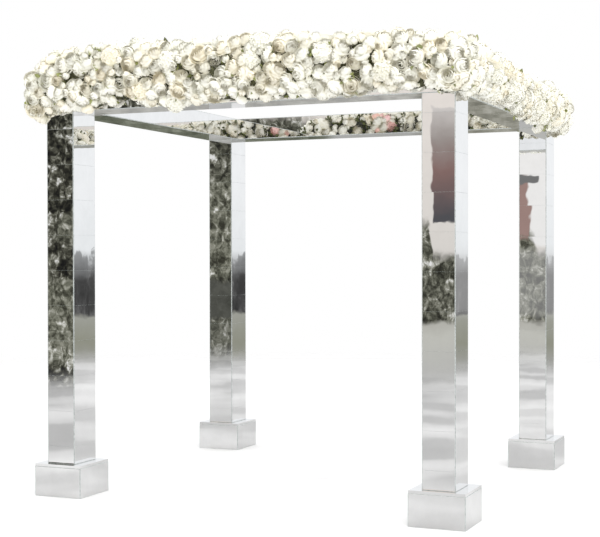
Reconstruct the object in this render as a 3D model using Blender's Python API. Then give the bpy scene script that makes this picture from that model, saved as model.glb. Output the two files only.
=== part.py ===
"""Mirror-clad chuppah: four box posts on low square plinths carry an open ring
of box beams, with a flower garland over the front and right beams.

Metres, +Z up. The origin is on the ground under the centre of the frame,
the front looks along -Y and the right side is +X.
"""
import math
import random

import bpy

# Driving dimensions
POST_WIDTH = 0.212
POST_DEPTH = 0.272
POST_HEIGHT = 2.44
PLINTH_WIDTH = 0.365
PLINTH_HEIGHT = 0.225
FRAME_WIDTH = 2.94
FRAME_DEPTH = 2.73
BEAM_WIDTH = 0.272
BEAM_HEIGHT = 0.17
BOARD = 0.018
GAP = 0.0003

# Garland sizes, measured from the faces of the beam that it covers
GARLAND_REACH = 0.17
GARLAND_SIDE_REACH = 0.14
GARLAND_LAP = 0.05
GARLAND_INNER_DROP = 0.06

# Places along a beam, each with the garland's rise over the beam's top there
FRONT_RISE = (
    (-1.61, 0.13), (-1.5, 0.21), (-1.32, 0.255), (-1.12, 0.29), (-0.3, 0.27),
    (0.2, 0.275), (1.2, 0.225), (1.5, 0.205), (1.61, 0.16),
)
RIGHT_RISE = ((-1.04, 0.19), (-0.6, 0.155), (1.53, 0.14))

# Places along a beam, each with the height there of the garland's lower edge over the beam's
FRONT_LIFT = (
    (-1.61, -0.09), (-1.5, -0.09), (-1.42, -0.03), (-1.1, -0.02), (-0.9, 0.0), (-0.8, 0.05),
    (-0.68, -0.01), (0.8, -0.015), (1.0, 0.01), (1.3, 0.005), (1.42, -0.03), (1.61, -0.04),
)
RIGHT_LIFT = ((-1.04, 0.02), (-0.3, 0.0), (0.1, -0.03), (1.25, -0.035), (1.4, -0.07), (1.53, -0.07))

# The bumps that the blooms make in the garland
BLOOM_BUMP = 0.035
BLOOM_SPACING = 0.15
BLOOM_RADIUS = 0.093
BLOOM_JITTER = 0.3
SMALLEST_BLOOM = 0.6
GARLAND_SEED = 11

# How the garland's surface is drawn
RING_STEP = 0.045
SPOKES = 30
SQUARENESS = 3.2
GIRTH_PER_HALF_WIDTH = 3.2
END_ROUNDING = 0.13
END_FLAT = 0.45
END_FULLNESS = 2.5
END_CROWDING = 0.055

# Heights and half sizes that follow from them
POST_BASE = PLINTH_HEIGHT
BEAM_BASE = POST_BASE + POST_HEIGHT
BEAM_TOP = BEAM_BASE + BEAM_HEIGHT
HALF_WIDTH = FRAME_WIDTH / 2
HALF_DEPTH = FRAME_DEPTH / 2
INNER_X = HALF_WIDTH - BEAM_WIDTH
INNER_Y = HALF_DEPTH - BEAM_WIDTH


def clear_scene():
    for old in list(bpy.data.objects):
        bpy.data.objects.remove(old, do_unlink=True)


def finish(name, colour, roughness, metallic):
    material = bpy.data.materials.new(name)
    material.use_nodes = True
    shader = material.node_tree.nodes["Principled BSDF"]
    shader.inputs["Base Color"].default_value = (*colour, 1.0)
    shader.inputs["Roughness"].default_value = roughness
    shader.inputs["Metallic"].default_value = metallic
    return material


def mesh_object(name, points, faces, material):
    mesh = bpy.data.meshes.new(name)
    mesh.from_pydata(points, [], faces)
    mesh.materials.append(material)
    mesh.update()
    piece = bpy.data.objects.new(name, mesh)
    bpy.context.collection.objects.link(piece)
    return piece


def block(name, low, high, material):
    """A rectangular board between two corners."""
    points = [(x, y, z) for z in (low[2], high[2]) for y in (low[1], high[1]) for x in (low[0], high[0])]
    faces = [(0, 2, 3, 1), (4, 5, 7, 6), (0, 1, 5, 4), (2, 6, 7, 3), (0, 4, 6, 2), (1, 3, 7, 5)]
    centre = [(a + b) / 2 for a, b in zip(low, high)]
    local = [tuple(p[i] - centre[i] for i in range(3)) for p in points]
    piece = mesh_object(name, local, faces, material)
    piece.location = centre
    return piece


def cut(piece, cutters):
    """Takes each cutter's shape out of the piece."""
    for cutter in cutters:
        cutter.hide_render = True
        cutter.display_type = "WIRE"
        step = piece.modifiers.new("cut_" + cutter.name, "BOOLEAN")
        step.operation = "DIFFERENCE"
        step.object = cutter


def corner_places():
    """The centre of each post on the ground plan."""
    reach_x = HALF_WIDTH - POST_WIDTH / 2
    reach_y = HALF_DEPTH - POST_DEPTH / 2
    sides = {"front_left": (-1, -1), "front_right": (1, -1), "back_left": (-1, 1), "back_right": (1, 1)}
    return {name: (sx * reach_x, sy * reach_y) for name, (sx, sy) in sides.items()}


def make_plinth(corner, x, y, material):
    """An open-topped mirror-faced box, and the plate that closes it and carries the post."""
    half = PLINTH_WIDTH / 2
    lid_base = PLINTH_HEIGHT - BOARD
    box = block(corner + "_plinth_box", (x - half, y - half, 0), (x + half, y + half, lid_base - GAP), material)
    inner = half - BOARD
    hollow = block(
        corner + "_plinth_hollow",
        (x - inner, y - inner, BOARD),
        (x + inner, y + inner, PLINTH_HEIGHT),
        material,
    )
    cut(box, [hollow])
    block(corner + "_plinth_top", (x - half, y - half, lid_base), (x + half, y + half, PLINTH_HEIGHT), material)


def make_post(corner, x, y, material):
    """Four mirror-faced boards round a hollow: two full-width ones with two between them."""
    half_x, half_y = POST_WIDTH / 2, POST_DEPTH / 2
    inner_x, inner_y = half_x - BOARD, half_y - BOARD
    low, high = POST_BASE + GAP, BEAM_BASE - GAP
    name = corner + "_post_"
    block(name + "front", (x - half_x, y - half_y, low), (x + half_x, y - inner_y, high), material)
    block(name + "back", (x - half_x, y + inner_y, low), (x + half_x, y + half_y, high), material)
    block(name + "left", (x - half_x, y - inner_y + GAP, low), (x - inner_x, y + inner_y - GAP, high), material)
    block(name + "right", (x + inner_x, y - inner_y + GAP, low), (x + half_x, y + inner_y - GAP, high), material)


def make_beam(side, across, sign, inner_run, outer_run, material):
    """One side of the ring: outer and inner faces, underside and top.

    across is the number of the axis that crosses the beam, sign says which
    side of the frame it is on, outer_run is the half length of its outer
    face and inner_run that of its other boards.
    """
    outer = sign * (HALF_DEPTH if across == 1 else HALF_WIDTH)

    def board(part, distances, half_run, low, high):
        near, far = [0.0, 0.0, low], [0.0, 0.0, high]
        near[1 - across], far[1 - across] = -half_run, half_run
        near[across], far[across] = sorted(outer - sign * distance for distance in distances)
        block(side + "_beam_" + part, near, far, material)

    board("outer", (0, BOARD), outer_run, BEAM_BASE, BEAM_TOP)
    board("inner", (BEAM_WIDTH - BOARD, BEAM_WIDTH), inner_run, BEAM_BASE, BEAM_TOP)
    channel = (BOARD + GAP, BEAM_WIDTH - BOARD - GAP)
    board("underside", channel, inner_run, BEAM_BASE, BEAM_BASE + BOARD)
    board("top", channel, inner_run, BEAM_TOP - BOARD, BEAM_TOP)


def make_ring(material):
    """Front and back beams run over the posts, the side beams close in between them."""
    for side, sign in (("front", -1), ("back", 1)):
        make_beam(side, 1, sign, HALF_WIDTH - BOARD - GAP, HALF_WIDTH, material)
    for side, sign in (("left", -1), ("right", 1)):
        make_beam(side, 0, sign, INNER_Y - GAP, HALF_DEPTH - BOARD - GAP, material)


def bloom_field(draw, length, girth):
    """Centres of the bumps on the unrolled garland, on a jittered staggered grid."""
    rows = round(girth / BLOOM_SPACING)
    columns = round(length / BLOOM_SPACING)
    centres = []
    for row in range(rows):
        for column in range(columns):
            along = (column + 0.5 * (row % 2) + draw.uniform(-BLOOM_JITTER, BLOOM_JITTER)) * length / columns
            around = (row + 0.5 + draw.uniform(-BLOOM_JITTER, BLOOM_JITTER)) * girth / rows
            centres.append((along, around, draw.uniform(SMALLEST_BLOOM, 1)))
    return centres


def bump(along, around, girth, centres):
    """Height of the bloom bumps, 0 to 1, at one place of the unrolled garland."""
    height = 0.0
    for centre_along, centre_around, size in centres:
        turn = abs(around - centre_around)
        gap = math.hypot(along - centre_along, min(turn, girth - turn))
        if gap < BLOOM_RADIUS:
            height = max(height, size * math.sqrt(1 - (gap / BLOOM_RADIUS) ** 2))
    return height


def stretch(points, axis, low, high):
    """Moves the points along one axis so that they just reach from low to high."""
    values = [p[axis] for p in points]
    first, last = min(values), max(values)
    for p in points:
        p[axis] = low + (p[axis] - first) * (high - low) / (last - first)


def level(stations, position):
    """The value at one place, read on straight lines between the stations."""
    for (low, low_value), (high, high_value) in zip(stations, stations[1:]):
        if position <= high:
            break
    share = min(max((position - low) / (high - low), 0), 1)
    return low_value + (high_value - low_value) * share


def garland(name, along, reach, across, lift, rise, round_start, material):
    """A lumpy rounded bar of blooms, drawn as rings round a straight line.

    along is the axis it runs on, reach and across its extent on that axis
    and on the other horizontal one, and lift and rise the stations of its
    lower and upper edge. Its far end is round, its near end only where
    round_start is true.
    """
    draw = random.Random(GARLAND_SEED + along)
    start, end = reach
    across_centre, half_across = sum(across) / 2, (across[1] - across[0]) / 2
    length = end - start
    girth = GIRTH_PER_HALF_WIDTH * (half_across + (BEAM_HEIGHT + rise[0][1]) / 2)
    centres = bloom_field(draw, length, girth)
    rings = round(length / RING_STEP)
    points = []
    for ring in range(rings):
        share = ring / (rings - 1)
        position = start + length * (share - END_CROWDING * math.sin(2 * math.pi * share))
        to_end = min(position - start, end - position) if round_start else end - position
        fall = 1 - min(max(to_end, 0) / END_ROUNDING, 1)
        girdle = END_FLAT + (1 - END_FLAT) * math.sqrt(1 - fall ** END_FULLNESS)
        low, high = BEAM_BASE + level(lift, position), BEAM_TOP + level(rise, position)
        centre_z, half_z = (low + high) / 2, (high - low) / 2
        for spoke in range(SPOKES):
            angle = 2 * math.pi * (spoke + 0.5) / SPOKES
            c, s = math.cos(angle), math.sin(angle)
            radius = girdle * (abs(c) ** SQUARENESS + abs(s) ** SQUARENESS) ** (-1 / SQUARENESS)
            shrink = BLOOM_BUMP * (1 - bump(position - start, girth * spoke / SPOKES, girth, centres))
            point = [0.0, 0.0, centre_z + s * (half_z * radius - shrink)]
            point[along] = position
            point[1 - along] = across_centre + c * (half_across * radius - shrink)
            points.append(point)
    stretch(points, 1 - along, *across)
    rows = [[ring * SPOKES + spoke for spoke in range(SPOKES)] for ring in range(rings)]
    faces = [rows[0][::-1], rows[-1]]
    for near, far in zip(rows, rows[1:]):
        for spoke in range(SPOKES):
            after = (spoke + 1) % SPOKES
            faces.append((near[spoke], near[after], far[after], far[spoke]))
    if along == 0:
        piece = mesh_object(name, points, faces, material)
    else:
        piece = mesh_object(name, points, [tuple(face)[::-1] for face in faces], material)
    piece.data.shade_smooth()
    return piece


def prism(name, outline, low, high, material):
    """An upright solid over an outline that runs anticlockwise seen from above."""
    count = len(outline)
    points = [(x, y, z) for z in (low, high) for x, y in outline]
    faces = [tuple(range(count))[::-1], tuple(range(count, 2 * count))]
    for i in range(count):
        j = (i + 1) % count
        faces.append((i, j, count + j, count + i))
    return mesh_object(name, points, faces, material)


def make_garlands(material):
    """Blooms over the front beam and both its ends, and over the right beam and its far end."""
    lap_y = -INNER_Y + GARLAND_LAP
    front = garland(
        "front_garland", 0,
        (-HALF_WIDTH - GARLAND_SIDE_REACH, HALF_WIDTH + GARLAND_SIDE_REACH),
        (-HALF_DEPTH - GARLAND_REACH, lap_y),
        FRONT_LIFT, FRONT_RISE, True, material,
    )
    right = garland(
        "right_garland", 1,
        (lap_y + GAP, HALF_DEPTH + GARLAND_REACH),
        (INNER_X - GARLAND_LAP, HALF_WIDTH + GARLAND_SIDE_REACH),
        RIGHT_LIFT, RIGHT_RISE, False, material,
    )

    west, east = -HALF_WIDTH - GAP, HALF_WIDTH + GAP
    south, north = -HALF_DEPTH - GAP, HALF_DEPTH + GAP
    past_lap = lap_y + GARLAND_LAP
    front_room = prism(
        "front_beam_room",
        [(west, south), (east, south), (east, past_lap), (INNER_X - GAP, past_lap),
         (INNER_X - GAP, -INNER_Y + GAP), (-INNER_X + GAP, -INNER_Y + GAP),
         (-INNER_X + GAP, past_lap), (west, past_lap)],
        0, BEAM_TOP + GAP, material,
    )
    right_room = prism(
        "right_beam_room",
        [(INNER_X - GAP, south), (east, south), (east, north), (INNER_X - 2 * GARLAND_LAP, north),
         (INNER_X - 2 * GARLAND_LAP, INNER_Y - GAP), (INNER_X - GAP, INNER_Y - GAP)],
        0, BEAM_TOP + GAP, material,
    )
    lap_low = BEAM_TOP - GARLAND_INNER_DROP
    under_front_lap = block(
        "under_front_lap", (-INNER_X - BEAM_WIDTH / 2, -INNER_Y - BEAM_WIDTH / 2, BEAM_BASE / 2),
        (INNER_X + BEAM_WIDTH / 2, past_lap + GARLAND_LAP, lap_low), material,
    )
    under_right_lap = block(
        "under_right_lap", (INNER_X - 3 * GARLAND_LAP, south + GARLAND_LAP, BEAM_BASE / 2),
        (INNER_X + BEAM_WIDTH / 2, north - BEAM_WIDTH / 2, lap_low), material,
    )
    cut(front, [front_room, under_front_lap])
    cut(right, [right_room, under_right_lap])


def build():
    clear_scene()
    mirror = finish("mirror", (0.86, 0.88, 0.9), 0.04, 1.0)
    blooms = finish("ivory_blooms", (0.9, 0.87, 0.78), 0.7, 0.0)
    for corner, (x, y) in corner_places().items():
        make_plinth(corner, x, y, mirror)
        make_post(corner, x, y, mirror)
    make_ring(mirror)
    make_garlands(blooms)


build()
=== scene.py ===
"""Looks of the mirror-clad chuppah: mirror sheets on its plinths, posts and beams, and
ivory garlands of roses, open garden roses, hydrangea heads, half-open roses and leaves.

Metres, +Z up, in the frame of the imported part.
"""

import math

import bpy
import numpy as np
from mathutils import Matrix, Vector


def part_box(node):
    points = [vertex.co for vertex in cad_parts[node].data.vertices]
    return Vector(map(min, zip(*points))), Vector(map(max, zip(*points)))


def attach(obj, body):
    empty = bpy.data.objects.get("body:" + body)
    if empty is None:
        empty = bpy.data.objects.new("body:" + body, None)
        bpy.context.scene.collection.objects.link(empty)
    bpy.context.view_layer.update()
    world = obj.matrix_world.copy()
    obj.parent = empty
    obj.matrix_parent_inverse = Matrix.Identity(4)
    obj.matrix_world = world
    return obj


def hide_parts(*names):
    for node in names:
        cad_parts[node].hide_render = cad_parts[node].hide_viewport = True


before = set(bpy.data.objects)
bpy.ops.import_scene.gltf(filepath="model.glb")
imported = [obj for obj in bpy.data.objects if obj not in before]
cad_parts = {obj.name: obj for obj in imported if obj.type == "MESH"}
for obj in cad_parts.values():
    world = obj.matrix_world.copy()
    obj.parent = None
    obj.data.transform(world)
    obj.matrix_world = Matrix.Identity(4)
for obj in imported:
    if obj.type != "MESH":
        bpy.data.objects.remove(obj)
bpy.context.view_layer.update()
BODY = "root"

# The picture and its camera
PICTURE_WIDTH = 600
FOCAL_LENGTH_PIXELS = 1318.1
SENSOR_WIDTH = 36
EYE = (3.7736, -9.0955, 1.6747)
TURN_LEFT = 0.40689
PITCH = -0.01065
ROLL = -0.00156
FAR_CLIP = 500

# Floor, lamp and soft box
FLOOR_RADIUS = 14
FLOOR_FADE_START = 7
FLOOR_HOLE = 0.1
FLOOR_SIDES = 64
LAMP_PLACE = Vector((3.5, -5.5, 8))
LAMP_TARGET = Vector((0, 0, 1.5))
LAMP_DIAMETER = 7
LAMP_WATTS = 330
SOFT_BOX_BOOST = 0.2

# Elevations at the ends of the surroundings' colour ramps, in degrees
LOWEST_DEGREES = -12
HIGHEST_DEGREES = 12

# Corners and sides of the frame
CORNERS = ("front_left", "front_right", "back_left", "back_right")
UP = Vector((0, 0, 1))
OUTWARD = {"front": Vector((0, -1, 0)), "back": Vector((0, 1, 0)),
           "left": Vector((-1, 0, 0)), "right": Vector((1, 0, 0))}
OPPOSITE = {"front": "back", "back": "front", "left": "right", "right": "left"}

# Mirror sheets, in metres; a tilt is how far one side stands out, and its shares are across and up
SHEET_THICKNESS = 0.002
SHEET_BEVEL = 0.0005
SEAM_CHAMFER = 0.0003
EDGE_CHAMFER = 0.003
SHEET_SEAM = 0.0004
SHEET_LIFT = 0.0002
SHEET_TILT = 0.00012
TILT_SHARES = (1, 2.5)
TILES_PER_POST = 10
BEAM_SHEET_LENGTH = 0.61
MIRROR_HAZE, MIRROR_WAVE = 0.004, 0.0002
PLINTH_HAZE, PLINTH_WAVE = 0.03, 0.0003

# Material numbers of the blooms' faces
PETAL, GREEN, BLUSH = 0, 1, 2

# Petals: rows along and columns across, a faint painted glow that stands in for light passing through them,
# and the turn from each to the next
PETAL_STEPS = (0.25, 0.58, 0.82, 1.0)
PETAL_COLUMNS = 5
PETAL_PAINTED_GLOW = 0.04
GOLDEN_TURN = 2.399963
ANY_PHASE = (0, 6.28)

# Blooms: nearest neighbour as a share of both radii, then smallest and largest radius
KINDS = {
    "hydrangea": (0.66, 0.06, 0.074),
    "garden_rose": (0.6, 0.064, 0.084),
    "rose": (0.56, 0.056, 0.076),
    "small_rose": (0.52, 0.036, 0.05),
}

# In the order of placing: places tried, blooms wanted, and share kept on the side over the opening
CROWDS = (
    ("hydrangea", 4000, 16, 0.5),
    ("garden_rose", 6000, 90, 0.7),
    ("rose", 12000, 400, 1.0),
    ("small_rose", 14000, 330, 1.0),
)

# A surface whose normal points in over the opening by more than this faces in
FACING_IN = 0.3

# How deep a bloom's centre lies and how clear of the boards it stays, in radii
BLOOM_SINK = 0.4
BLOOM_CLEARANCE = 0.6

# How a bloom's depth and lean vary, and how far it leans up
BLOOM_DEPTH_SPREAD = 0.012
BLOOM_LEAN_SPREAD = 0.2
BLOOM_LEAN_UP = 0.06

# A place is open where the point this far out clears the boards, by a gap, and the other garland
OUTLOOK = 0.05
BOARD_GAP = 0.002

# Share of blooms where a garland faces in, each up to a place along X
FRONT_COVER = ((-0.78, 0.1), (-0.55, 0.5), (0.1, 0.08), (math.inf, 0.6))
RIGHT_COVER = ((math.inf, 0.12),)

# Stretch of the front garland along X with blush blooms on the side that faces in
BLUSH_FROM, BLUSH_TO = -0.74, -0.52

# How far the base lies behind the garland's surface
CORE_DEPTH = 0.046

# Leaves facing out, and facing in: gap to a bloom in its radii, share kept, and tints
LEAVES = {False: (0.78, 0.7, (0.35, 1)), True: (0.7, 0.8, (0, 0.2))}
LEAF_PLACES = 9000
LEAF_SIZES = (0.03, 0.055)
LEAF_SINKS = (0.01, 0.04)
LEAF_DROOPS = (0.3, 1.2)
LEAF_LEAN_SPREAD = 0.5

# A garland's outside has no leaf where its normal points up by more than this
MOST_UPWARD_LEAF = 0.75

# Seeds of the random draws
SHEET_SEED = 3
SHAPE_SEED = 5
FRONT_SEED = 21
RIGHT_SEED = 22


def srgb(red, green, blue):
    """A colour given as 0 to 255 screen values, in linear light."""
    def linear(value):
        share = value / 255
        return share / 12.92 if share <= 0.04045 else ((share + 0.055) / 1.055) ** 2.4
    return (linear(red), linear(green), linear(blue), 1.0)


def grey(value):
    return srgb(value, value, value)


class Nodes:
    """Short forms for building a node tree."""

    def __init__(self, tree):
        self.tree = tree
        self.tree.nodes.clear()

    def add(self, kind, **settings):
        node = self.tree.nodes.new("ShaderNode" + kind)
        for name, value in settings.items():
            setattr(node, name, value)
        return node

    def put(self, socket, value):
        """Links a socket, or sets a plain value."""
        if isinstance(value, bpy.types.NodeSocket):
            self.tree.links.new(value, socket)
        else:
            socket.default_value = value

    def fill(self, node, values):
        """Puts values into a node's inputs, by name."""
        for name, value in values.items():
            self.put(node.inputs[name], value)

    def fill_first(self, node, *values):
        """Puts values into a node's first inputs."""
        for socket, value in zip(node.inputs, values):
            self.put(socket, value)

    def split(self, vector):
        """A vector's X, Y and Z."""
        node = self.add("SeparateXYZ")
        self.fill_first(node, vector)
        return node.outputs

    def math(self, operation, *values, clamp=False):
        node = self.add("Math", operation=operation, use_clamp=clamp)
        self.fill_first(node, *values)
        return node.outputs[0]

    def times(self, first, second):
        return self.math("MULTIPLY", first, second)

    def plus(self, first, second):
        return self.math("ADD", first, second)

    def span(self, value, low, high, to_low=0.0, to_high=1.0):
        """value mapped smoothly from low..high to to_low..to_high, and held there beyond."""
        node = self.add("MapRange", interpolation_type="SMOOTHSTEP")
        self.fill_first(node, value, low, high, to_low, to_high)
        return node.outputs[0]

    def between(self, value, low, high, soft):
        """1 between low and high, 0 outside, with soft borders."""
        rising = self.span(value, low - soft, low + soft)
        return self.times(rising, self.span(value, high - soft, high + soft, 1, 0))

    def mix(self, factor, first, second, blend="MIX"):
        """From the first colour at factor 0 to the second at 1."""
        node = self.add("Mix", data_type="RGBA", blend_type=blend)
        self.put(node.inputs["Factor"], factor)
        colours = [socket for socket in node.inputs if socket.type == "RGBA"]
        self.put(colours[0], first)
        self.put(colours[1], second)
        return [socket for socket in node.outputs if socket.type == "RGBA"][0]

    def noise(self, vector, scale, detail=2.0, roughness=0.5, distortion=0.0):
        node = self.add("TexNoise")
        self.fill(node, {
            "Vector": vector, "Scale": scale, "Detail": detail,
            "Roughness": roughness, "Distortion": distortion,
        })
        return node.outputs["Fac"]

    def stretched(self, vector, scale):
        node = self.add("Mapping")
        self.fill(node, {"Vector": vector, "Scale": scale})
        return node.outputs["Vector"]

    def ramp(self, factor, stops):
        """A colour ramp through (place, colour) stops."""
        node = self.add("ValToRGB")
        elements = node.color_ramp.elements
        while len(elements) < len(stops):
            elements.new(1.0)
        for element, (place, colour) in zip(elements, stops):
            element.position = place
            element.color = colour
        self.put(node.inputs["Fac"], factor)
        return node.outputs["Color"]

    def bump(self, height, distance):
        node = self.add("Bump")
        self.fill(node, {"Strength": 1.0, "Distance": distance, "Height": height})
        return node.outputs["Normal"]


def new_material(name):
    """A material with only a Principled shader, and its Nodes helper."""
    material = bpy.data.materials.new(name)
    material.use_nodes = True
    nodes = Nodes(material.node_tree)
    shader = nodes.add("BsdfPrincipled")
    output = nodes.add("OutputMaterial")
    nodes.put(output.inputs["Surface"], shader.outputs["BSDF"])
    return material, nodes, shader


def new_object(name, data):
    """An object with this data, linked to the scene."""
    item = bpy.data.objects.new(name, data)
    bpy.context.scene.collection.objects.link(item)
    return item


def mesh_piece(name, points, quads, materials, kinds=None, petals=None, smooth=True):
    """A new object from arrays of points and four-cornered faces.

    kinds is each face's material number, petals each point's place on its
    petal (along, across) and its bloom's tint.
    """
    mesh = bpy.data.meshes.new(name)
    mesh.vertices.add(len(points))
    mesh.vertices.foreach_set("co", np.asarray(points, np.float32).ravel())
    mesh.loops.add(4 * len(quads))
    mesh.loops.foreach_set("vertex_index", np.asarray(quads, np.int32).ravel())
    mesh.polygons.add(len(quads))
    mesh.polygons.foreach_set("loop_start", np.arange(0, 4 * len(quads), 4, dtype=np.int32))
    if kinds is not None:
        mesh.polygons.foreach_set("material_index", np.asarray(kinds, np.int32))
    mesh.update(calc_edges=True)
    if petals is not None:
        layer = mesh.attributes.new("petal", "FLOAT_VECTOR", "POINT")
        layer.data.foreach_set("vector", np.asarray(petals, np.float32).ravel())
    for material in materials:
        mesh.materials.append(material)
    if smooth:
        mesh.shade_smooth()
    else:
        mesh.shade_flat()
    return new_object(name, mesh)


# Camera, floor, surroundings and light

def make_camera():
    """The pinhole camera that was fitted to the photograph's lines."""
    forward = Vector((
        -math.sin(TURN_LEFT) * math.cos(PITCH),
        math.cos(TURN_LEFT) * math.cos(PITCH),
        math.sin(PITCH),
    ))
    right = Vector((math.cos(TURN_LEFT), math.sin(TURN_LEFT), 0))
    up = right.cross(forward)
    rolled_right = math.cos(ROLL) * right + math.sin(ROLL) * up
    rolled_up = -math.sin(ROLL) * right + math.cos(ROLL) * up
    data = bpy.data.cameras.new("camera")
    data.sensor_width = SENSOR_WIDTH
    data.lens = FOCAL_LENGTH_PIXELS / PICTURE_WIDTH * SENSOR_WIDTH
    data.clip_end = FAR_CLIP
    camera = new_object("camera", data)
    turn = Matrix((rolled_right, rolled_up, -forward)).transposed()
    camera.matrix_world = Matrix.Translation(EYE) @ turn.to_4x4()
    bpy.context.scene.camera = camera


def by_elevation(nodes, elevation, stops):
    """A ramp whose stops are given in degrees above the horizon."""
    reach = HIGHEST_DEGREES - LOWEST_DEGREES
    share = nodes.math("DIVIDE", nodes.math("SUBTRACT", elevation, LOWEST_DEGREES), reach, clamp=True)
    return nodes.ramp(share, [((degrees - LOWEST_DEGREES) / reach, colour) for degrees, colour in stops])


class Surroundings:
    """Soft bands and mottled fields that only the mirrors show, placed by azimuth and height in degrees."""

    def __init__(self, nodes):
        n = self.nodes = nodes
        self.direction = n.add("TexCoord").outputs["Generated"]
        parts = n.split(self.direction)
        self.up = parts["Z"]
        self.height = n.math("DEGREES", n.math("ARCSINE", self.up))
        self.azimuth = n.math("DEGREES", n.math("ARCTAN2", parts["X"], parts["Y"]))
        sway = n.times(n.math("SUBTRACT", n.noise(self.direction, 60, 4), 0.5), 0.9)
        self.elevation = n.plus(self.height, sway)
        self.clumps = n.noise(self.direction, 95, 6, 0.75, 0.2)
        sprigs = n.noise(n.stretched(self.direction, (1, 1, 0.6)), 330, 3, 0.6)
        mottle = n.plus(n.times(self.clumps, 0.6), n.times(sprigs, 0.4))
        self.dark = n.ramp(mottle, [
            (0.4, grey(28)), (0.46, srgb(47, 47, 41)), (0.5, srgb(72, 72, 63)), (0.54, srgb(106, 106, 95)),
            (0.575, srgb(158, 158, 148)), (0.62, grey(230)),
        ])
        self.pale = n.ramp(mottle, [
            (0.4, srgb(56, 56, 48)), (0.46, srgb(88, 89, 78)), (0.5, srgb(118, 119, 106)),
            (0.55, srgb(152, 152, 140)), (0.6, srgb(206, 206, 198)), (0.64, grey(238)),
        ])

    def field(self, azimuths, level, levels):
        """1 inside a range of azimuths and of levels, each given as low, high and softness."""
        n = self.nodes
        return n.times(n.between(self.azimuth, *azimuths), n.between(level, *levels))

    def bands_behind(self):
        """Level bands behind the part, with dark streaks just under the horizon."""
        n = self.nodes
        bands = by_elevation(n, self.elevation, [
            (-11, grey(240)), (-7.2, grey(210)), (-6.9, grey(234)), (-6.1, grey(240)), (-5.9, grey(202)),
            (-5.4, grey(174)), (-3.8, srgb(148, 149, 136)), (-2.6, srgb(162, 163, 155)), (-2.45, grey(62)),
            (-0.9, grey(85)), (0.15, srgb(238, 241, 243)), (3, srgb(247, 249, 251)),
        ])
        place = n.add("CombineXYZ")
        n.fill_first(place, self.azimuth, n.times(self.height, 0.22))
        streaks = n.noise(place.outputs[0], 2.2, 5, 0.65)
        ragged = n.times(n.math("SUBTRACT", streaks, 0.5), 2.4)
        ragged = n.times(ragged, n.between(self.height, -1.2, 1.0, 0.6))
        dark_line = n.between(n.plus(self.elevation, ragged), -2.5, -0.1, 0.1)
        tones = n.ramp(streaks, [(0.38, grey(46)), (0.5, grey(74)), (0.58, grey(108)), (0.68, grey(170))])
        bands = n.mix(n.times(dark_line, 0.55), bands, tones)
        haze = self.field((5, 20, 3), self.height, (-2.6, 0.2, 0.3))
        return n.mix(n.times(haze, 0.38), bands, grey(214))

    def grained(self, bands):
        """The bands with three finely grained fields well below the horizon."""
        n = self.nodes
        grain = n.noise(n.stretched(self.direction, (1, 1, 4)), 70, 6, 0.7)
        dark = n.ramp(grain, [
            (0.3, srgb(70, 74, 64)), (0.5, srgb(108, 112, 98)), (0.7, srgb(150, 153, 140)),
        ])
        middle = n.ramp(grain, [
            (0.3, srgb(112, 112, 102)), (0.5, srgb(146, 145, 134)), (0.7, srgb(184, 183, 174)),
        ])
        light = n.ramp(grain, [(0.3, grey(148)), (0.5, srgb(172, 171, 166)), (0.7, srgb(198, 197, 192))])
        below = n.between(self.height, -9.0, -4.2, 0.2)
        for first, last, low, high, tones in (
            (-40, -8, -7.8, -6.0, light), (-40, -22, -6.05, -4.3, dark), (-18.2, -8, -7.4, -4.3, middle),
        ):
            where = self.field((first, last, 0.4), self.height, (low, high, 0.06))
            bands = n.mix(n.times(where, below), bands, tones)
        return bands

    def bands_in_front(self):
        """Level bands in front of the part, brighter above the horizon at one side."""
        n = self.nodes
        bands = by_elevation(n, self.elevation, [
            (-11, grey(246)), (-7, grey(208)), (-6.4, grey(186)), (-3.4, srgb(196, 196, 189)),
            (-2.9, srgb(184, 183, 176)), (-2.75, srgb(126, 125, 118)), (-0.6, srgb(122, 120, 114)),
            (0.2, srgb(222, 218, 213)), (7, srgb(236, 229, 223)),
        ])
        bright = n.times(n.between(self.azimuth, -172, -165.2, 0.8), n.span(self.elevation, 0.2, 0.6))
        return n.mix(n.times(bright, 0.75), bands, grey(248))

    def tall_mottle(self, shown):
        """A tall dark mottled field with pale patches."""
        n = self.nodes
        mottle = n.mix(n.between(self.elevation, -4.6, -1.2, 0.3), self.dark, self.pale)
        patches = n.span(n.noise(self.direction, 26, 2), 0.48, 0.56)
        patches = n.times(patches, n.between(self.elevation, -1.2, 5.2, 0.3))
        mottle = n.mix(patches, mottle, n.mix(0.75, self.dark, self.pale))
        where = n.times(n.between(self.azimuth, -150.2, -118, 0.6), n.span(self.elevation, -5.9, -5.3))
        return n.mix(where, shown, mottle)

    def layered_mottle(self, shown):
        """A mottled field beside it, with a plain dark layer and a mixed one below the horizon."""
        n = self.nodes
        mixed = n.mix(0.25, self.dark, self.pale)
        mottle = n.mix(n.between(self.elevation, -0.9, 3.2, 0.3), mixed, self.pale)
        plain = n.ramp(self.clumps, [(0.3, srgb(64, 65, 60)), (0.7, srgb(96, 97, 91))])
        mottle = n.mix(n.between(self.height, -2.9, -1.1, 0.12), mottle, plain)
        mottle = n.mix(n.between(self.height, -4.7, -3.0, 0.15), mottle, n.mix(0.45, self.pale, plain))
        return n.mix(self.field((-159, -150.2, 0.5), self.elevation, (-4.8, 6.0, 0.3)), shown, mottle)

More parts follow.
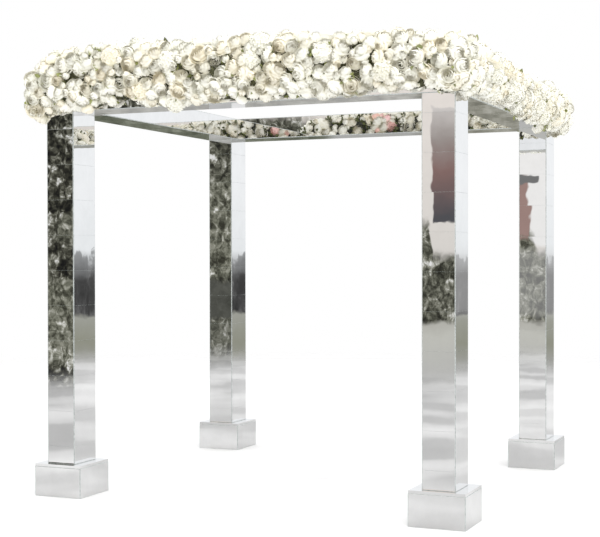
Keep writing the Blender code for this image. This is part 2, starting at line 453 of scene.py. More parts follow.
    def low_mottle(self, shown):
        """A low mottled field that rises at two places, and thin haze over one end of it."""
        n = self.nodes
        rise = n.times(n.between(self.azimuth, -162.35, -160, 0.15), 1.6)
        rise = n.plus(rise, n.times(n.between(self.azimuth, -166.75, -165, 0.3), 1.2))
        where = self.field((-175, -160, 1), n.math("SUBTRACT", self.elevation, rise), (-4.6, -0.1, 0.25))
        where = n.times(where, n.span(self.height, -2.95, -2.75))
        mixed = n.mix(0.6, self.dark, self.pale)
        shown = n.mix(where, shown, n.mix(n.span(self.azimuth, -165.5, -164.5), self.pale, mixed))
        haze = self.field((-172, -165, 0.6), self.elevation, (-2.6, 0.2, 0.2))
        return n.mix(n.times(haze, 0.3), shown, grey(206))

    def side_mottles(self, shown):
        """A broken dark field far out at each side."""
        n = self.nodes
        broken = n.span(n.noise(self.direction, 12, 5, 0.6), 0.38, 0.5)
        for first, last, top in ((62, 126, 5.5), (-94, -46, 4.5)):
            where = self.field((first, last, 4), self.elevation, (-1.9, top, 0.5))
            shown = n.mix(n.times(where, broken), shown, self.dark)
        return shown

    def upright_fields(self, shown):
        """Two narrow upright fields of warm grey above the horizon, one with a darker bar on top."""
        n = self.nodes
        warm = by_elevation(n, self.elevation, [
            (1.6, srgb(84, 84, 88)), (3.6, srgb(136, 110, 106)),
            (5, srgb(158, 150, 146)), (6.8, srgb(226, 222, 219)),
        ])
        shown = n.mix(self.field((-164.2, -162.42, 0.04), self.elevation, (1.4, 6.4, 0.06)), shown, warm)
        narrow = self.field((-166.55, -165.9, 0.05), self.height, (0.6, 3.3, 0.15))
        shown = n.mix(narrow, shown, srgb(160, 134, 128))
        bar = self.field((-167.0, -165.9, 0.05), self.height, (3.0, 3.3, 0.04))
        return n.mix(bar, shown, grey(120))

    def colour(self):
        """All layers, one over the other."""
        n = self.nodes
        to_the_front = n.span(n.math("ABSOLUTE", self.azimuth), 80, 110)
        shown = n.mix(to_the_front, self.grained(self.bands_behind()), self.bands_in_front())
        for layer in (
            self.tall_mottle, self.layered_mottle, self.low_mottle, self.side_mottles, self.upright_fields,
        ):
            shown = layer(shown)
        return shown


def make_surroundings():
    """Plain white behind the part, a soft box that lights it, and the bands that its mirrors show."""
    world = bpy.data.worlds.new("studio")
    world.use_nodes = True
    bpy.context.scene.world = world
    n = Nodes(world.node_tree)
    surroundings = Surroundings(n)
    rays = n.add("LightPath")
    soft_box = n.mix(n.span(surroundings.up, -0.5, 0.8), grey(236), grey(255))
    shown = n.mix(rays.outputs["Is Glossy Ray"], soft_box, surroundings.colour())
    shown = n.mix(rays.outputs["Is Camera Ray"], shown, grey(255))
    boost = n.times(rays.outputs["Is Diffuse Ray"], SOFT_BOX_BOOST)
    background = n.add("Background")
    n.fill(background, {"Color": shown, "Strength": n.plus(1.0, boost)})
    output = n.add("OutputWorld")
    n.put(output.inputs["Surface"], background.outputs[0])


def make_floor():
    """A pale round floor that fades out well away from the part, in soft grey patches for the mirrors."""
    material, n, shader = new_material("pale_floor")
    flat = n.stretched(n.add("NewGeometry").outputs["Position"], (1, 1, 0))
    distance = n.add("VectorMath", operation="LENGTH")
    n.fill_first(distance, flat)
    patches = n.noise(n.stretched(flat, (0.6, 0.6, 0)), 1.0, 2, 0.4)
    under = n.ramp(patches, [(0.3, grey(188)), (0.47, grey(198)), (0.53, grey(214)), (0.7, grey(226))])
    ahead = n.ramp(patches, [(0.3, grey(164)), (0.46, grey(172)), (0.52, grey(192)), (0.7, grey(212))])
    mirrored = n.mix(n.span(n.split(flat)["Y"], -3.4, -2.6), ahead, under)
    rays = n.add("LightPath")
    colour = n.mix(rays.outputs["Is Glossy Ray"], grey(250), mirrored)
    n.fill(shader, {"Base Color": colour, "Roughness": 0.8, "Specular IOR Level": 0.1})
    clear = n.add("BsdfTransparent")
    blend = n.add("MixShader")
    fade = n.span(distance.outputs["Value"], FLOOR_FADE_START, FLOOR_RADIUS - 1)
    n.fill_first(blend, fade, shader.outputs["BSDF"], clear.outputs[0])
    n.put(n.tree.nodes["Material Output"].inputs["Surface"], blend.outputs[0])
    turns = np.linspace(0, 2 * math.pi, FLOOR_SIDES, endpoint=False)
    ring = np.stack((np.cos(turns), np.sin(turns), np.zeros(FLOOR_SIDES)), 1)
    points = np.concatenate((ring * FLOOR_HOLE, ring * FLOOR_RADIUS))
    inner = np.arange(FLOOR_SIDES)
    following = (inner + 1) % FLOOR_SIDES
    quads = np.stack((inner, FLOOR_SIDES + inner, FLOOR_SIDES + following, following), 1)
    floor = mesh_piece("floor", points, quads, [material], smooth=False)


def make_light():
    """One large soft lamp high in front, which the mirrors don't show."""
    data = bpy.data.lights.new("soft_lamp", "AREA")
    data.shape = "DISK"
    data.size = LAMP_DIAMETER
    data.energy = LAMP_WATTS
    lamp = new_object("soft_lamp", data)
    lamp.location = LAMP_PLACE
    lamp.rotation_euler = (LAMP_TARGET - LAMP_PLACE).to_track_quat("-Z", "Y").to_euler()
    lamp.visible_glossy = False
    lamp.visible_camera = False


# Materials of the mirrors

def mirror_material(name, haze, wave, tone):
    """Silvered sheet: slightly wavy, with faint hand marks."""
    material, n, shader = new_material(name)
    place = n.add("NewGeometry").outputs["Position"]
    marks = n.noise(place, 9, 6, 0.65)
    smears = n.noise(n.stretched(place, (5, 5, 14)), 2.5, 5, 0.7)
    n.fill(shader, {
        "Base Color": n.ramp(marks, [(0.35, tone), (0.7, grey(248))]),
        "Metallic": 1.0,
        "Roughness": n.span(smears, 0.45, 0.8, haze, haze * 3),
        "Normal": n.bump(n.noise(place, 5.5, 2, 0.4), wave),
    })
    return material


def glass_edge_material():
    """The ground edge of a glass mirror sheet, pale and slightly green."""
    material, n, shader = new_material("glass_edge")
    place = n.add("NewGeometry").outputs["Position"]
    tones = [(0.3, srgb(186, 192, 190)), (0.7, srgb(226, 231, 230))]
    n.fill(shader, {"Base Color": n.ramp(n.noise(place, 60, 3), tones), "Metallic": 0.5, "Roughness": 0.3})
    return material


# Mirror sheets on posts, beams and plinths

class Sheets:
    """Collects thin plates, each with a fine chamfer round its mirrored face."""

    def __init__(self, draw):
        self.draw = draw
        self.points, self.quads, self.kinds = [], [], []

    def add(self, corner, across, up, width, height, trims):
        """A plate on a board: corner is the board's, across and up its directions.

        trims are the widths of its chamfer at the first and last side across
        and at the lower and upper side.
        """
        corner, across, up = Vector(corner), Vector(across), Vector(up)
        out = across.cross(up)
        lean_across, lean_up = self.draw.uniform(-SHEET_TILT, SHEET_TILT, 2) * TILT_SHARES
        first = len(self.points)
        edge = SHEET_SEAM / 2
        before, after, under, over = trims
        for chamfered, rise, leans in (
            (0, 0, 0), (0, SHEET_THICKNESS - SHEET_BEVEL, 1), (1, SHEET_THICKNESS, 1),
        ):
            for a, b in ((0, 0), (1, 0), (1, 1), (0, 1)):
                inset_a = edge + chamfered * (after if a else before)
                inset_b = edge + chamfered * (over if b else under)
                along_width = width - inset_a if a else inset_a
                along_height = height - inset_b if b else inset_b
                lean = leans * ((a - 0.5) * lean_across + (b - 0.5) * lean_up)
                self.points.append(
                    corner + across * along_width + up * along_height + out * (SHEET_LIFT + rise + lean)
                )
        self.quads.append((first + 3, first + 2, first + 1, first))
        self.kinds.append(1)
        for level in (0, 4):
            for i in range(4):
                j = (i + 1) % 4
                low = first + level
                self.quads.append((low + i, low + j, low + 4 + j, low + 4 + i))
                self.kinds.append(1)
        self.quads.append(tuple(range(first + 8, first + 12)))
        self.kinds.append(0)

    def wall(self, corner, across, up, widths, heights):
        """Plates in columns and rows over one board, with a wider chamfer round the whole board."""
        across, up = Vector(across), Vector(up)
        reach = 0.0
        for column, width in enumerate(widths):
            rise = 0.0
            for row, height in enumerate(heights):
                edges = column == 0, column == len(widths) - 1, row == 0, row == len(heights) - 1
                trims = [EDGE_CHAMFER if at_edge else SEAM_CHAMFER for at_edge in edges]
                self.add(Vector(corner) + across * reach + up * rise, across, up, width, height, trims)
                rise += height
            reach += width

    def finish(self, name, materials):
        """Makes one piece of all the plates."""
        piece = mesh_piece(name, self.points, self.quads, materials, self.kinds, smooth=False)
        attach(piece, BODY)


def equal_parts(length, target):
    """A length cut into equal parts of about the target size."""
    count = max(1, round(length / target))
    return [length / count] * count


def joined_box(*nodes):
    """Lowest and highest corner of several nodes together."""
    boxes = [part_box(name) for name in nodes]
    low = Vector([min(box[0][axis] for box in boxes) for axis in range(3)])
    high = Vector([max(box[1][axis] for box in boxes) for axis in range(3)])
    return low, high


def post_box(name):
    return joined_box(*(f"{name}_post_{side}" for side in OUTWARD))


def beam_box(side):
    return joined_box(f"{side}_beam_outer", f"{side}_beam_inner")


def upright_face(low, high, facing):
    """Lower corner, run direction and width of one upright face of a box."""
    out = OUTWARD[facing]
    across = UP.cross(out)
    corner = Vector([
        high[axis] if out[axis] > 0 or across[axis] < 0 else low[axis] for axis in range(3)
    ])
    corner.z = low.z
    width = abs(across.dot(high - low))
    return corner, across, width


def make_post_sheets(materials, draw):
    """Nearly square mirror tiles up each post, with a half tile at its top and bottom."""
    for name in CORNERS:
        low, high = post_box(name)
        tile = (high.z - low.z) / TILES_PER_POST
        rows = [tile / 2] + [tile] * (TILES_PER_POST - 1) + [tile / 2]
        sheets = Sheets(draw)
        for facing in OUTWARD:
            corner, across, width = upright_face(low, high, facing)
            sheets.wall(corner, across, UP, [width], rows)
        sheets.finish(f"{name}_post_tiles", materials)


def make_plinth_sheets(materials, draw):
    """One mirror panel on each side of each plinth."""
    for name in CORNERS:
        low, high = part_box(f"{name}_plinth_box")
        sheets = Sheets(draw)
        for facing in OUTWARD:
            corner, across, width = upright_face(low, high, facing)
            sheets.wall(corner, across, UP, [width], [high.z - low.z])
        sheets.finish(f"{name}_plinth_panels", materials)


def make_beam_sheets(materials, draw):
    """Mirror strips along the outer and inner faces, the undersides and the open tops."""
    ring_low, ring_high = joined_box(*(f"{side}_beam_outer" for side in OUTWARD))
    post_low = post_box("back_right")[0]
    inner_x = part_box("right_beam_inner")[0].x
    inner_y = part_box("back_beam_inner")[0].y
    inner_low = Vector((-inner_x, -inner_y, ring_low.z))
    inner_high = Vector((inner_x, inner_y, ring_high.z))
    height = ring_high.z - ring_low.z
    for side, out in OUTWARD.items():
        sheets = Sheets(draw)
        corner, across, width = upright_face(ring_low, ring_high, side)
        sheets.wall(corner, across, UP, equal_parts(width, BEAM_SHEET_LENGTH), [height])

        far_corner, far_across, far_width = upright_face(inner_low, inner_high, OPPOSITE[side])
        inner_corner = far_corner + out * (inner_high - inner_low).dot(Vector([abs(v) for v in out]))
        sheets.wall(inner_corner, far_across, UP, equal_parts(far_width, BEAM_SHEET_LENGTH), [height])

        along_x = side in ("front", "back")
        near, far = (inner_y, ring_high.y) if along_x else (inner_x, ring_high.x)
        half_run = post_low.x if along_x else inner_y
        start = out * near - across * half_run + UP * ring_low.z
        sheets.wall(start, across, out, equal_parts(2 * half_run, BEAM_SHEET_LENGTH), [far - near])
        if side in ("back", "left"):
            half_top = ring_high.x if along_x else inner_y
            start = out * near + across * half_top + UP * ring_high.z
            sheets.wall(start, -across, out, equal_parts(2 * half_top, BEAM_SHEET_LENGTH), [far - near])
        sheets.finish(f"{side}_beam_strips", materials)


def dress_boards(mirror, plinth):
    """The boards behind the sheets have the same silver, which shows in the seams."""
    for name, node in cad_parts.items():
        if name.endswith("garland"):
            continue
        material = plinth if "plinth" in name else mirror
        for slot in node.material_slots:
            slot.material = material


# Petals and leaves

def petal_material(name, depth, middle, rim, warm, cool):
    """Matt petal: greener and darker towards its foot and palest at its rim, partly its own tone and partly
    painted shade that deepens towards the foot, inside the bloom; tinted from bloom to bloom.
    """
    material, n, shader = new_material(name)
    petal = n.add("Attribute", attribute_name="petal").outputs["Vector"]
    along, _, tint = n.split(petal)
    # The depth stop is partly the petal's own green foot and partly painted shade, darkest deep in the bloom
    colour = n.ramp(along, [(0.1, depth), (0.5, middle), (0.85, rim), (1.0, rim)])
    colour = n.mix(1.0, colour, n.ramp(tint, [(0.0, warm), (0.5, cool), (1.0, grey(255))]), "MULTIPLY")
    veins = n.noise(n.stretched(petal, (1.5, 9, 30)), 3.0, 3, 0.6)
    place = n.add("NewGeometry").outputs["Position"]
    blotches = n.noise(place, 40, 4, 0.6)
    relief = n.times(n.plus(veins, blotches), 0.5)
    mottle = n.ramp(relief, [(0.3, grey(246)), (0.55, grey(255))])
    n.fill(shader, {
        "Base Color": n.mix(1.0, colour, mottle, "MULTIPLY"),
        "Roughness": 0.6,
        "Specular IOR Level": 0.25,
        "Sheen Weight": 0.1,
        # Painted light: a faint warm emission that lifts the petals' shade, standing in for light passing
        # through them
        "Emission Color": srgb(255, 244, 214),
        "Emission Strength": PETAL_PAINTED_GLOW,
        "Normal": n.bump(veins, 0.0008),
    })
    return material


def leaf_material(name, dark, light):
    """Leaf green with a paler midrib and side veins."""
    material, n, shader = new_material(name)
    petal = n.add("Attribute", attribute_name="petal").outputs["Vector"]
    along, across, tint = n.split(petal)
    colour = n.mix(tint, dark, light)
    rib = n.span(n.math("ABSOLUTE", across), 0.02, 0.14, 0.55, 0)
    side = n.math("SINE", n.times(n.plus(along, n.math("ABSOLUTE", across)), 34))
    rib = n.math("MAXIMUM", rib, n.span(side, 0.75, 1.0, 0, 0.25))
    veined = n.mix(rib, colour, light)
    n.fill(shader, {"Base Color": veined, "Roughness": 0.45, "Normal": n.bump(rib, 0.0006)})
    return material


def moss_material():
    """Dark wet foam, stems and moss behind the blooms, dark partly in their own colour and partly as painted
    shade for the shaded petals in the gaps between the blooms.
    """
    material, n, shader = new_material("garland_base")
    place = n.add("NewGeometry").outputs["Position"]
    grain = n.noise(place, 55, 8, 0.7)
    moss_and_painted_shade = n.ramp(grain, [
        (0.3, srgb(46, 46, 34)), (0.5, srgb(84, 84, 60)),
        (0.62, srgb(120, 121, 88)), (0.8, srgb(154, 153, 120)),
    ])
    foam_and_painted_shade = n.ramp(grain, [(0.3, srgb(40, 41, 38)), (0.7, srgb(96, 97, 90))])
    facing = n.split(n.add("NewGeometry").outputs["Normal"])
    inward = n.math("MAXIMUM", facing["Y"], n.times(facing["X"], -1))
    n.fill(shader, {
        # Painted shade: both dark ramps stand partly for the shade in the gaps between the blooms
        "Base Color": n.mix(n.span(inward, 0.3, 0.6), moss_and_painted_shade, foam_and_painted_shade),
        "Roughness": 0.9,
        "Normal": n.bump(n.noise(place, 90, 6, 0.7), 0.01),
    })
    return material


class Shape:
    """Points, four-cornered faces, their material numbers and the points' places on their petals."""

    def __init__(self):
        self.points, self.quads, self.kinds, self.places = [], [], [], []
        self.count = 0

    def add(self, points, quads, kind, places):
        self.points.append(np.asarray(points, float))
        self.quads.append(np.asarray(quads, int) + self.count)
        self.kinds.append(np.full(len(quads), kind))
        self.places.append(np.asarray(places, float))
        self.count += len(points)

    def grid(self, points, kind, along, across):
        """A sheet of rows by columns points."""
        rows, columns = points.shape[:2]
        index = np.arange(rows * columns).reshape(rows, columns)
        quads = np.stack((index[:-1, :-1], index[:-1, 1:], index[1:, 1:], index[1:, :-1]), -1)
        places = np.stack((along + 0 * across, across + 0 * along), -1)
        self.add(points.reshape(-1, 3), quads.reshape(-1, 4), kind, places.reshape(-1, 2))

    def close(self):
        """Joins what was added."""
        self.points = np.concatenate(self.points)
        self.quads = np.concatenate(self.quads)
        self.kinds = np.concatenate(self.kinds)
        self.places = np.concatenate(self.places)
        return self


def add_petal(shape, turn, half_angle, radius, base, height, close, wave, phase, kind=PETAL):
    """A petal that wraps round the bloom's axis.

    It bulges out to its radius, and its rim closes in over the axis where
    close is positive and turns out and down where it is negative.
    """
    along = np.array(PETAL_STEPS)[:, None]
    across = np.linspace(-1, 1, PETAL_COLUMNS)[None, :]
    run = along * (1 - 0.16 * np.abs(across) ** 2.5)
    swell = np.sin(np.minimum(run / 0.6, 1) * math.pi / 2) ** 0.7
    tip = np.maximum((run - 0.6) / 0.4, 0)
    reach = radius * swell * (1 - close * tip ** 2) * (1 + 0.05 * across)
    rise = base + height * run ** 1.1 + min(close, 0) * 0.55 * tip ** 2.5
    rise = rise + wave * np.sin(phase + 7 * across) * run ** 2
    angle = turn + half_angle * across * (0.55 + 0.45 * swell)
    points = np.stack((reach * np.cos(angle), reach * np.sin(angle), rise), -1)
    shape.grid(points, kind, along, across)


def rose(draw, petals, opening, ruffle=0.015):
    """A rose of unit radius: a dome of overlapping petals, of which the outermost turn out."""
    shape = Shape()
    for k in range(petals):
        share = k / (petals - 1)
        radius = 0.1 + 0.74 * share ** 0.85
        outer = max(share - 0.65, 0) / 0.35
        top = 0.58 - 0.36 * share ** 2 - 0.14 * opening * outer + draw.uniform(-0.03, 0.03)
        add_petal(
            shape,
            turn=k * GOLDEN_TURN + draw.uniform(-0.3, 0.3),
            half_angle=2.0 - 0.95 * share ** 0.6,
            radius=radius, base=-0.7, height=top + 0.7,
            close=min(0.55, 0.16 / radius) - (0.06 + opening * 0.26) * outer,
            wave=ruffle * (1 + share),
            phase=draw.uniform(*ANY_PHASE),
        )
    return shape.close()


def garden_rose(draw):
    """A wide open rose: a ring of guard petals round a dome of small ruffled ones."""
    shape = Shape()
    ruffled = 24
    guards = 10
    for k in range(ruffled):
        away = 0.06 + 0.6 * math.sqrt((k + 0.5) / ruffled)
        add_petal(
            shape,
            turn=k * GOLDEN_TURN + draw.uniform(-0.4, 0.4),
            half_angle=0.4 + 0.22 / (away + 0.15),
            radius=away + draw.uniform(-0.02, 0.02),
            base=-0.5,
            height=1.06 - 0.55 * away ** 2 + draw.uniform(-0.05, 0.05),
            close=min(0.5, 0.1 / away) + draw.uniform(-0.12, 0.06),
            wave=0.04,
            phase=draw.uniform(*ANY_PHASE),
        )
    for k in range(guards):
        add_petal(
            shape,
            turn=k * GOLDEN_TURN,
            half_angle=0.7,
            radius=0.72 + 0.014 * k, base=-0.6, height=0.86 - 0.03 * k,
            close=-0.08 - 0.02 * k, wave=0.03,
            phase=draw.uniform(*ANY_PHASE),
        )
    return shape.close()


def half_open_rose(draw, green):
    """A small rose, still nearly closed, with or without its green sepals."""
    shape = Shape()
    petals = 9
    sepals = 5 if green else 0
    for k in range(petals):
        share = k / (petals - 1)
        radius = 0.14 + 0.6 * share
        add_petal(
            shape,
            turn=k * GOLDEN_TURN + draw.uniform(-0.2, 0.2),
            half_angle=1.9 - 0.9 * share,
            radius=radius, base=-0.9, height=1.66 - 0.34 * share ** 1.5,
            close=min(0.6, 0.2 / radius) - 0.3 * max(share - 0.8, 0),
            wave=0.02,
            phase=draw.uniform(*ANY_PHASE),
        )
    for k in range(sepals):
        add_petal(
            shape,
            turn=k * 2 * math.pi / sepals,
            half_angle=0.5,
            radius=0.8, base=-0.95, height=0.8,
            close=-0.2, wave=0.0, phase=0.0, kind=GREEN,
        )
    return shape.close()


def cube_ball(radius, cuts):
    """A ball made of six square sheets, as points and faces."""
    points, quads = [], []
    steps = np.tan(np.linspace(-1, 1, cuts + 1) * math.pi / 4)
    for axis in range(3):
        for sign in (-1, 1):
            first = len(points)
            for a in steps:
                for b in steps:
                    corner = np.zeros(3)
                    corner[axis] = sign
                    corner[(axis + 1) % 3] = a * sign
                    corner[(axis + 2) % 3] = b
                    points.append(radius * corner / np.linalg.norm(corner))
            for i in range(cuts):
                for j in range(cuts):
                    at = first + i * (cuts + 1) + j
                    quads.append((at, at + cuts + 1, at + cuts + 2, at + 1))
    return np.array(points), np.array(quads)


def hydrangea(draw, florets=64):
    """A dome of four-petalled florets over a pale green ball."""
    shape = Shape()
    ball, ball_quads = cube_ball(0.84, 3)
    shape.add(ball, ball_quads, PETAL, np.full((len(ball), 2), 0.35))
    lowest = -0.4
    for k in range(florets):
        up = 1 - (1 - lowest) * (k + 0.5) / florets
        turn = k * GOLDEN_TURN
        ring = math.sqrt(1 - up * up)
        axis = Vector((ring * math.cos(turn), ring * math.sin(turn), up))
        centre = axis * draw.uniform(0.86, 0.98)
        facing = (axis + Vector(draw.uniform(-0.2, 0.2, 3))).normalized()
        side = facing.orthogonal().normalized()
        side = Matrix.Rotation(draw.uniform(0, math.pi), 3, facing) @ side
        other = facing.cross(side)
        size = draw.uniform(0.22, 0.29)
        lift = draw.uniform(0.0, 0.05)
        for quarter in range(4):
            angle = quarter * math.pi / 2
            out = math.cos(angle) * side + math.sin(angle) * other
            sideways = -math.sin(angle) * side + math.cos(angle) * other
            tip = centre + size * out + facing * lift
            middle = centre + size * 0.55 * out - facing * 0.01
            left = centre + size * (0.62 * out + 0.48 * sideways) + facing * (lift + 0.02)
            right = centre + size * (0.62 * out - 0.48 * sideways) + facing * lift
            foot = centre - facing * 0.03
            shape.add(
                [foot, right, tip, left, middle], [(0, 1, 2, 4), (0, 4, 2, 3)], PETAL,
                [(0.3, 0), (0.85, -1), (1, 0), (0.85, 1), (0.6, 0)],
            )
    return shape.close()


def leaf(draw):
    """A pointed leaf of unit length, folded along its midrib and bent back at its tip."""
    shape = Shape()
    along = np.linspace(0, 1, 6)[:, None]
    across = np.linspace(-1, 1, 3)[None, :]
    width = 0.3 * np.sin(math.pi * along ** 0.8) ** 0.9 + 0.004
    bend = draw.uniform(0.1, 0.35)
    points = np.stack((
        across * width,
        along + 0 * across,
        0.12 * np.abs(across) * width / 0.3 - bend * along ** 2 + 0 * across,
    ), -1)
    shape.grid(points, GREEN, along, across)
    return shape.close()


# Where the blooms go

def surface_of(node):
    """Corners, outward normals and doubled areas of a node's triangles."""
    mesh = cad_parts[node].data
    mesh.calc_loop_triangles()
    count = len(mesh.loop_triangles)
    corners = np.empty(count * 3, np.int32)
    normals = np.empty(count * 3, np.float32)
    mesh.loop_triangles.foreach_get("vertices", corners)
    mesh.loop_triangles.foreach_get("normal", normals)
    points = np.empty(len(mesh.vertices) * 3, np.float32)
    mesh.vertices.foreach_get("co", points)
    triangles = points.reshape(-1, 3)[corners.reshape(-1, 3)].astype(float)
    first, second, third = triangles[:, 0], triangles[:, 1], triangles[:, 2]
    areas = np.linalg.norm(np.cross(second - first, third - first), axis=1)
    return triangles, normals.reshape(-1, 3).astype(float), areas


def scatter_on(node, count, draw):
    """Random places on a node's surface, even by area, with their normals."""
    triangles, normals, areas = surface_of(node)
    chosen = draw.choice(len(areas), count, p=areas / areas.sum())
    a, b = draw.random(count), draw.random(count)
    flip = a + b > 1
    a[flip], b[flip] = 1 - a[flip], 1 - b[flip]
    first, second, third = (triangles[chosen, corner] for corner in range(3))
    places = first + a[:, None] * (second - first) + b[:, None] * (third - first)
    return places, normals[chosen]


def inside_any(points, boxes, margin):
    """True for the points that lie in one of the boxes, each grown by the margin."""
    found = np.zeros(len(points), bool)
    for low, high in boxes:
        found |= ((points > low - margin) & (points < high + margin)).all(1)
    return found


def solid_boxes():
    """The beams and posts, as boxes that no bloom grows into."""
    return np.array([beam_box(side) for side in OUTWARD] + [post_box(name) for name in CORNERS])


def pushed_out(centre, clearance, boxes):
    """The centre moved away from the boxes until it is clear of them, or None inside one."""
    for low, high in boxes:
        nearest = np.clip(centre, low, high)
        away = centre - nearest
        distance = np.linalg.norm(away)
        if distance < 1e-6:
            return None
        if distance < clearance:
            centre = nearest + away * clearance / distance
    return centre


def turned_to(normal, spin):
    """A rotation that takes +Z to the normal, turned about it by the spin."""
    return Vector(normal).to_track_quat("Z", "Y").to_matrix() @ Matrix.Rotation(spin, 3, "Z")


class Garland:
    """The blooms of one garland, and the places that are open to its blooms and leaves."""

    def __init__(self, node, inward, other_box, seed, cover):
        self.node = node
        self.cover = cover
        self.inward = np.array(inward, float)
        self.draw = np.random.default_rng(seed)
        self.other = np.array([other_box])
        self.solids = solid_boxes()
        beam = np.array(beam_box(node.split("_")[0]))
        self.inner_face = (beam @ self.inward).max()
        self.beam_base = beam[0][2]
        self.blooms = []

    def open_places(self, count):
        """Places on the garland that face the open air."""
        places, normals = scatter_on(self.node, count, self.draw)
        ahead = places + normals * OUTLOOK
        free = ~inside_any(ahead, self.solids, BOARD_GAP)
        free &= ~inside_any(ahead, self.other, 0.0)
        return places[free], normals[free]

    def cover_at(self, place):
        """Share of blooms that the garland keeps here where it faces in."""
        return next(share for end, share in self.cover if place[0] < end)

    def is_crowded(self, place, radius, crowding):
        """True where another bloom already stands too close."""
        for other in self.blooms:
            if np.linalg.norm(other["place"] - place) < crowding * (radius + other["radius"]):
                return True
        return False

    def crowd(self, kind, tried, wanted, back_share, protos):
        """Adds blooms of one kind where they don't crowd those already there."""
        crowding, smallest, largest = KINDS[kind]
        added = 0
        for place, normal in zip(*self.open_places(tried)):
            if added >= wanted:
                break
            radius = self.draw.uniform(smallest, largest)
            faces_in = normal @ self.inward > FACING_IN
            if faces_in and self.draw.random() > back_share * self.cover_at(place):
                continue
            if self.is_crowded(place, radius, crowding):
                continue
            lean = normal + self.draw.normal(0, BLOOM_LEAN_SPREAD, 3) + np.array((0, 0, BLOOM_LEAN_UP))
            lean /= np.linalg.norm(lean)
            depth = self.draw.uniform(-BLOOM_DEPTH_SPREAD, BLOOM_DEPTH_SPREAD) - BLOOM_SINK * radius
            centre = pushed_out(place + lean * depth, BLOOM_CLEARANCE * radius, self.solids)
            over_the_opening = place @ self.inward > self.inner_face - radius
            if centre is None or (over_the_opening and centre[2] < self.beam_base + radius):
                continue
            blush = faces_in and BLUSH_FROM < place[0] < BLUSH_TO and added % 2
            self.blooms.append({
                "place": place, "centre": centre, "radius": radius, "normal": lean,
                "shape": protos[self.draw.integers(len(protos))],
                "spin": self.draw.uniform(0, 2 * math.pi), "tint": self.draw.random(),
                "colour": BLUSH if blush else PETAL,
            })
            added += 1


def joined_piece(name, entries, materials):
    """One piece of placed shapes: entries are (shape, rotation, size, position, tint, colour)."""
    points, quads, kinds, petals = [], [], [], []
    count = 0
    for shape, rotation, size, position, tint, colour in entries:
        points.append(shape.points @ (np.array(rotation).T * size) + position)
        quads.append(shape.quads + count)
        kinds.append(np.where(shape.kinds == PETAL, colour, shape.kinds))
        petals.append(np.column_stack((shape.places, np.full(len(shape.points), tint))))
        count += len(shape.points)
    points, quads, kinds, petals = (np.concatenate(parts) for parts in (points, quads, kinds, petals))
    return mesh_piece(name, points, quads, materials, kinds, petals)


def bloom_entry(bloom):
    """A placed shape for one bloom."""
    rotation = turned_to(bloom["normal"], bloom["spin"])
    return (bloom["shape"], rotation, bloom["radius"], bloom["centre"], bloom["tint"], bloom["colour"])


def leaf_entries(garland, protos):
    """Placed shapes for the leaves, which fill gaps between the blooms."""
    draw = garland.draw
    centres = np.array([bloom["place"] for bloom in garland.blooms])
    radii = np.array([bloom["radius"] for bloom in garland.blooms])
    leaves = []
    for place, normal in zip(*garland.open_places(LEAF_PLACES)):
        faces_in = bool(normal @ garland.inward > FACING_IN)
        smallest_gap, kept, tints = LEAVES[faces_in]
        gaps = np.linalg.norm(centres - place, axis=1) / radii
        if gaps.min() < smallest_gap or draw.random() > kept:
            continue
        if not faces_in and normal[2] > MOST_UPWARD_LEAF:
            continue
        lean = normal + draw.normal(0, LEAF_LEAN_SPREAD, 3)
        position = place - normal * draw.uniform(*LEAF_SINKS)
        spin = Matrix.Rotation(draw.uniform(*ANY_PHASE), 3, "Y")
        droop = Matrix.Rotation(draw.uniform(*LEAF_DROOPS), 3, "X")
        rotation = Vector(lean).to_track_quat("Y", "Z").to_matrix() @ spin @ droop
        size = draw.uniform(*LEAF_SIZES)
        shape = protos[draw.integers(len(protos))]
        leaves.append((shape, rotation, size, position, draw.uniform(*tints), GREEN))
    return leaves


def make_core(garland, material):
    """The dark base behind the blooms, its darkness partly painted shade in the gaps: the garland's own
    form, drawn in.
    """
    triangles, normals, areas = surface_of(garland.node)
    points, index = np.unique(np.round(triangles.reshape(-1, 3), 5), axis=0, return_inverse=True)
    index = index.reshape(-1, 3)
    sums = np.zeros_like(points)
    for corner in range(3):
        np.add.at(sums, index[:, corner], normals * areas[:, None])
    sums /= np.maximum(np.linalg.norm(sums, axis=1), 1e-9)[:, None]
    points = points - sums * CORE_DEPTH
    mesh = bpy.data.meshes.new(garland.node + "_base")
    mesh.from_pydata(points.tolist(), [], index.tolist())
    mesh.materials.append(material)
    mesh.shade_smooth()
    return new_object(garland.node + "_base", mesh)


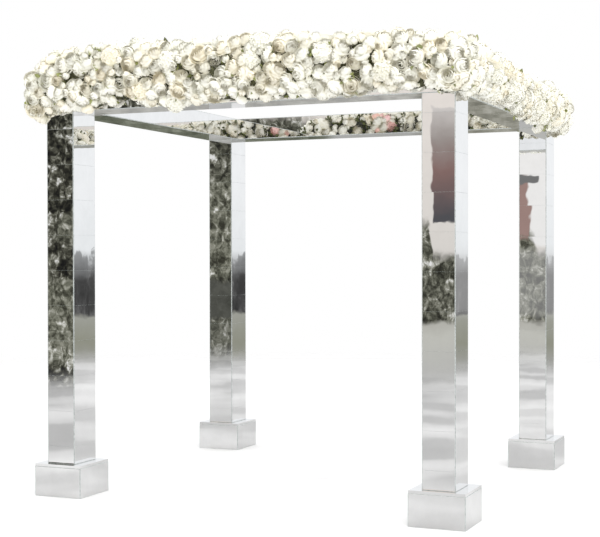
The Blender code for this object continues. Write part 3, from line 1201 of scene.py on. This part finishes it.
def make_garland(garland, protos, materials, base_material, cuts, axis):
    """Blooms, leaves and base of one garland, its blooms in pieces cut across the axis."""
    node = garland.node
    for kind, tried, wanted, back_share in CROWDS:
        garland.crowd(kind, tried, wanted, back_share, protos[kind])
    edges = [-math.inf, *cuts, math.inf]
    for number, (first, last) in enumerate(zip(edges, edges[1:]), 1):
        chosen = [bloom for bloom in garland.blooms if first <= bloom["place"][axis] < last]
        entries = [bloom_entry(bloom) for bloom in chosen]
        piece = joined_piece(f"{node}_blooms_{number}", entries, materials)
        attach(piece, BODY)
        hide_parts(node)
    piece = joined_piece(f"{node}_leaves", leaf_entries(garland, protos["leaf"]), materials)
    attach(piece, BODY)
    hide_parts(node)
    core = make_core(garland, base_material)
    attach(core, BODY)
    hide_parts(node)


def make_garlands():
    """Both garlands, from one set of bloom and leaf shapes."""
    draw = np.random.default_rng(SHAPE_SEED)
    protos = {
        "hydrangea": [hydrangea(draw) for _ in range(4)],
        "garden_rose": [garden_rose(draw) for _ in range(5)] + [rose(draw, 22, 0.8, 0.03) for _ in range(2)],
        "rose": [rose(draw, 16, opening) for opening in (0.0, 0.2, 0.35, 0.5, 0.8)],
        "small_rose": [half_open_rose(draw, green) for green in (False, False, True)],
        "leaf": [leaf(draw) for _ in range(5)],
    }
    ivory = petal_material(
        "ivory_petal", srgb(222, 224, 196), srgb(243, 241, 228), srgb(250, 249, 242),
        srgb(252, 247, 236), srgb(248, 249, 248),
    )
    blush = petal_material(
        "blush_petal", srgb(232, 226, 200), srgb(250, 234, 222), srgb(249, 224, 217),
        srgb(255, 236, 214), srgb(252, 236, 244),
    )
    green = leaf_material("leaf_green", srgb(60, 66, 44), srgb(168, 174, 108))
    looks = (protos, [ivory, green, blush], moss_material())
    front_box, right_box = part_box("front_garland"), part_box("right_garland")
    front = Garland("front_garland", (0, 1, 0), right_box, FRONT_SEED, FRONT_COVER)
    make_garland(front, *looks, cuts=(-0.6, 0.55), axis=0)
    right = Garland("right_garland", (-1, 0, 0), front_box, RIGHT_SEED, RIGHT_COVER)
    make_garland(right, *looks, cuts=(0.2,), axis=1)


def main():
    bpy.context.scene.view_settings.view_transform = "Standard"
    make_camera()
    make_surroundings()
    make_floor()
    make_light()
    draw = np.random.default_rng(SHEET_SEED)
    mirror = mirror_material("mirror", MIRROR_HAZE, MIRROR_WAVE, grey(243))
    plinth = mirror_material("hazed_mirror", PLINTH_HAZE, PLINTH_WAVE, grey(240))
    edge = glass_edge_material()
    dress_boards(mirror, plinth)
    make_post_sheets([mirror, edge], draw)
    make_plinth_sheets([plinth, edge], draw)
    make_beam_sheets([mirror, edge], draw)
    make_garlands()


main()
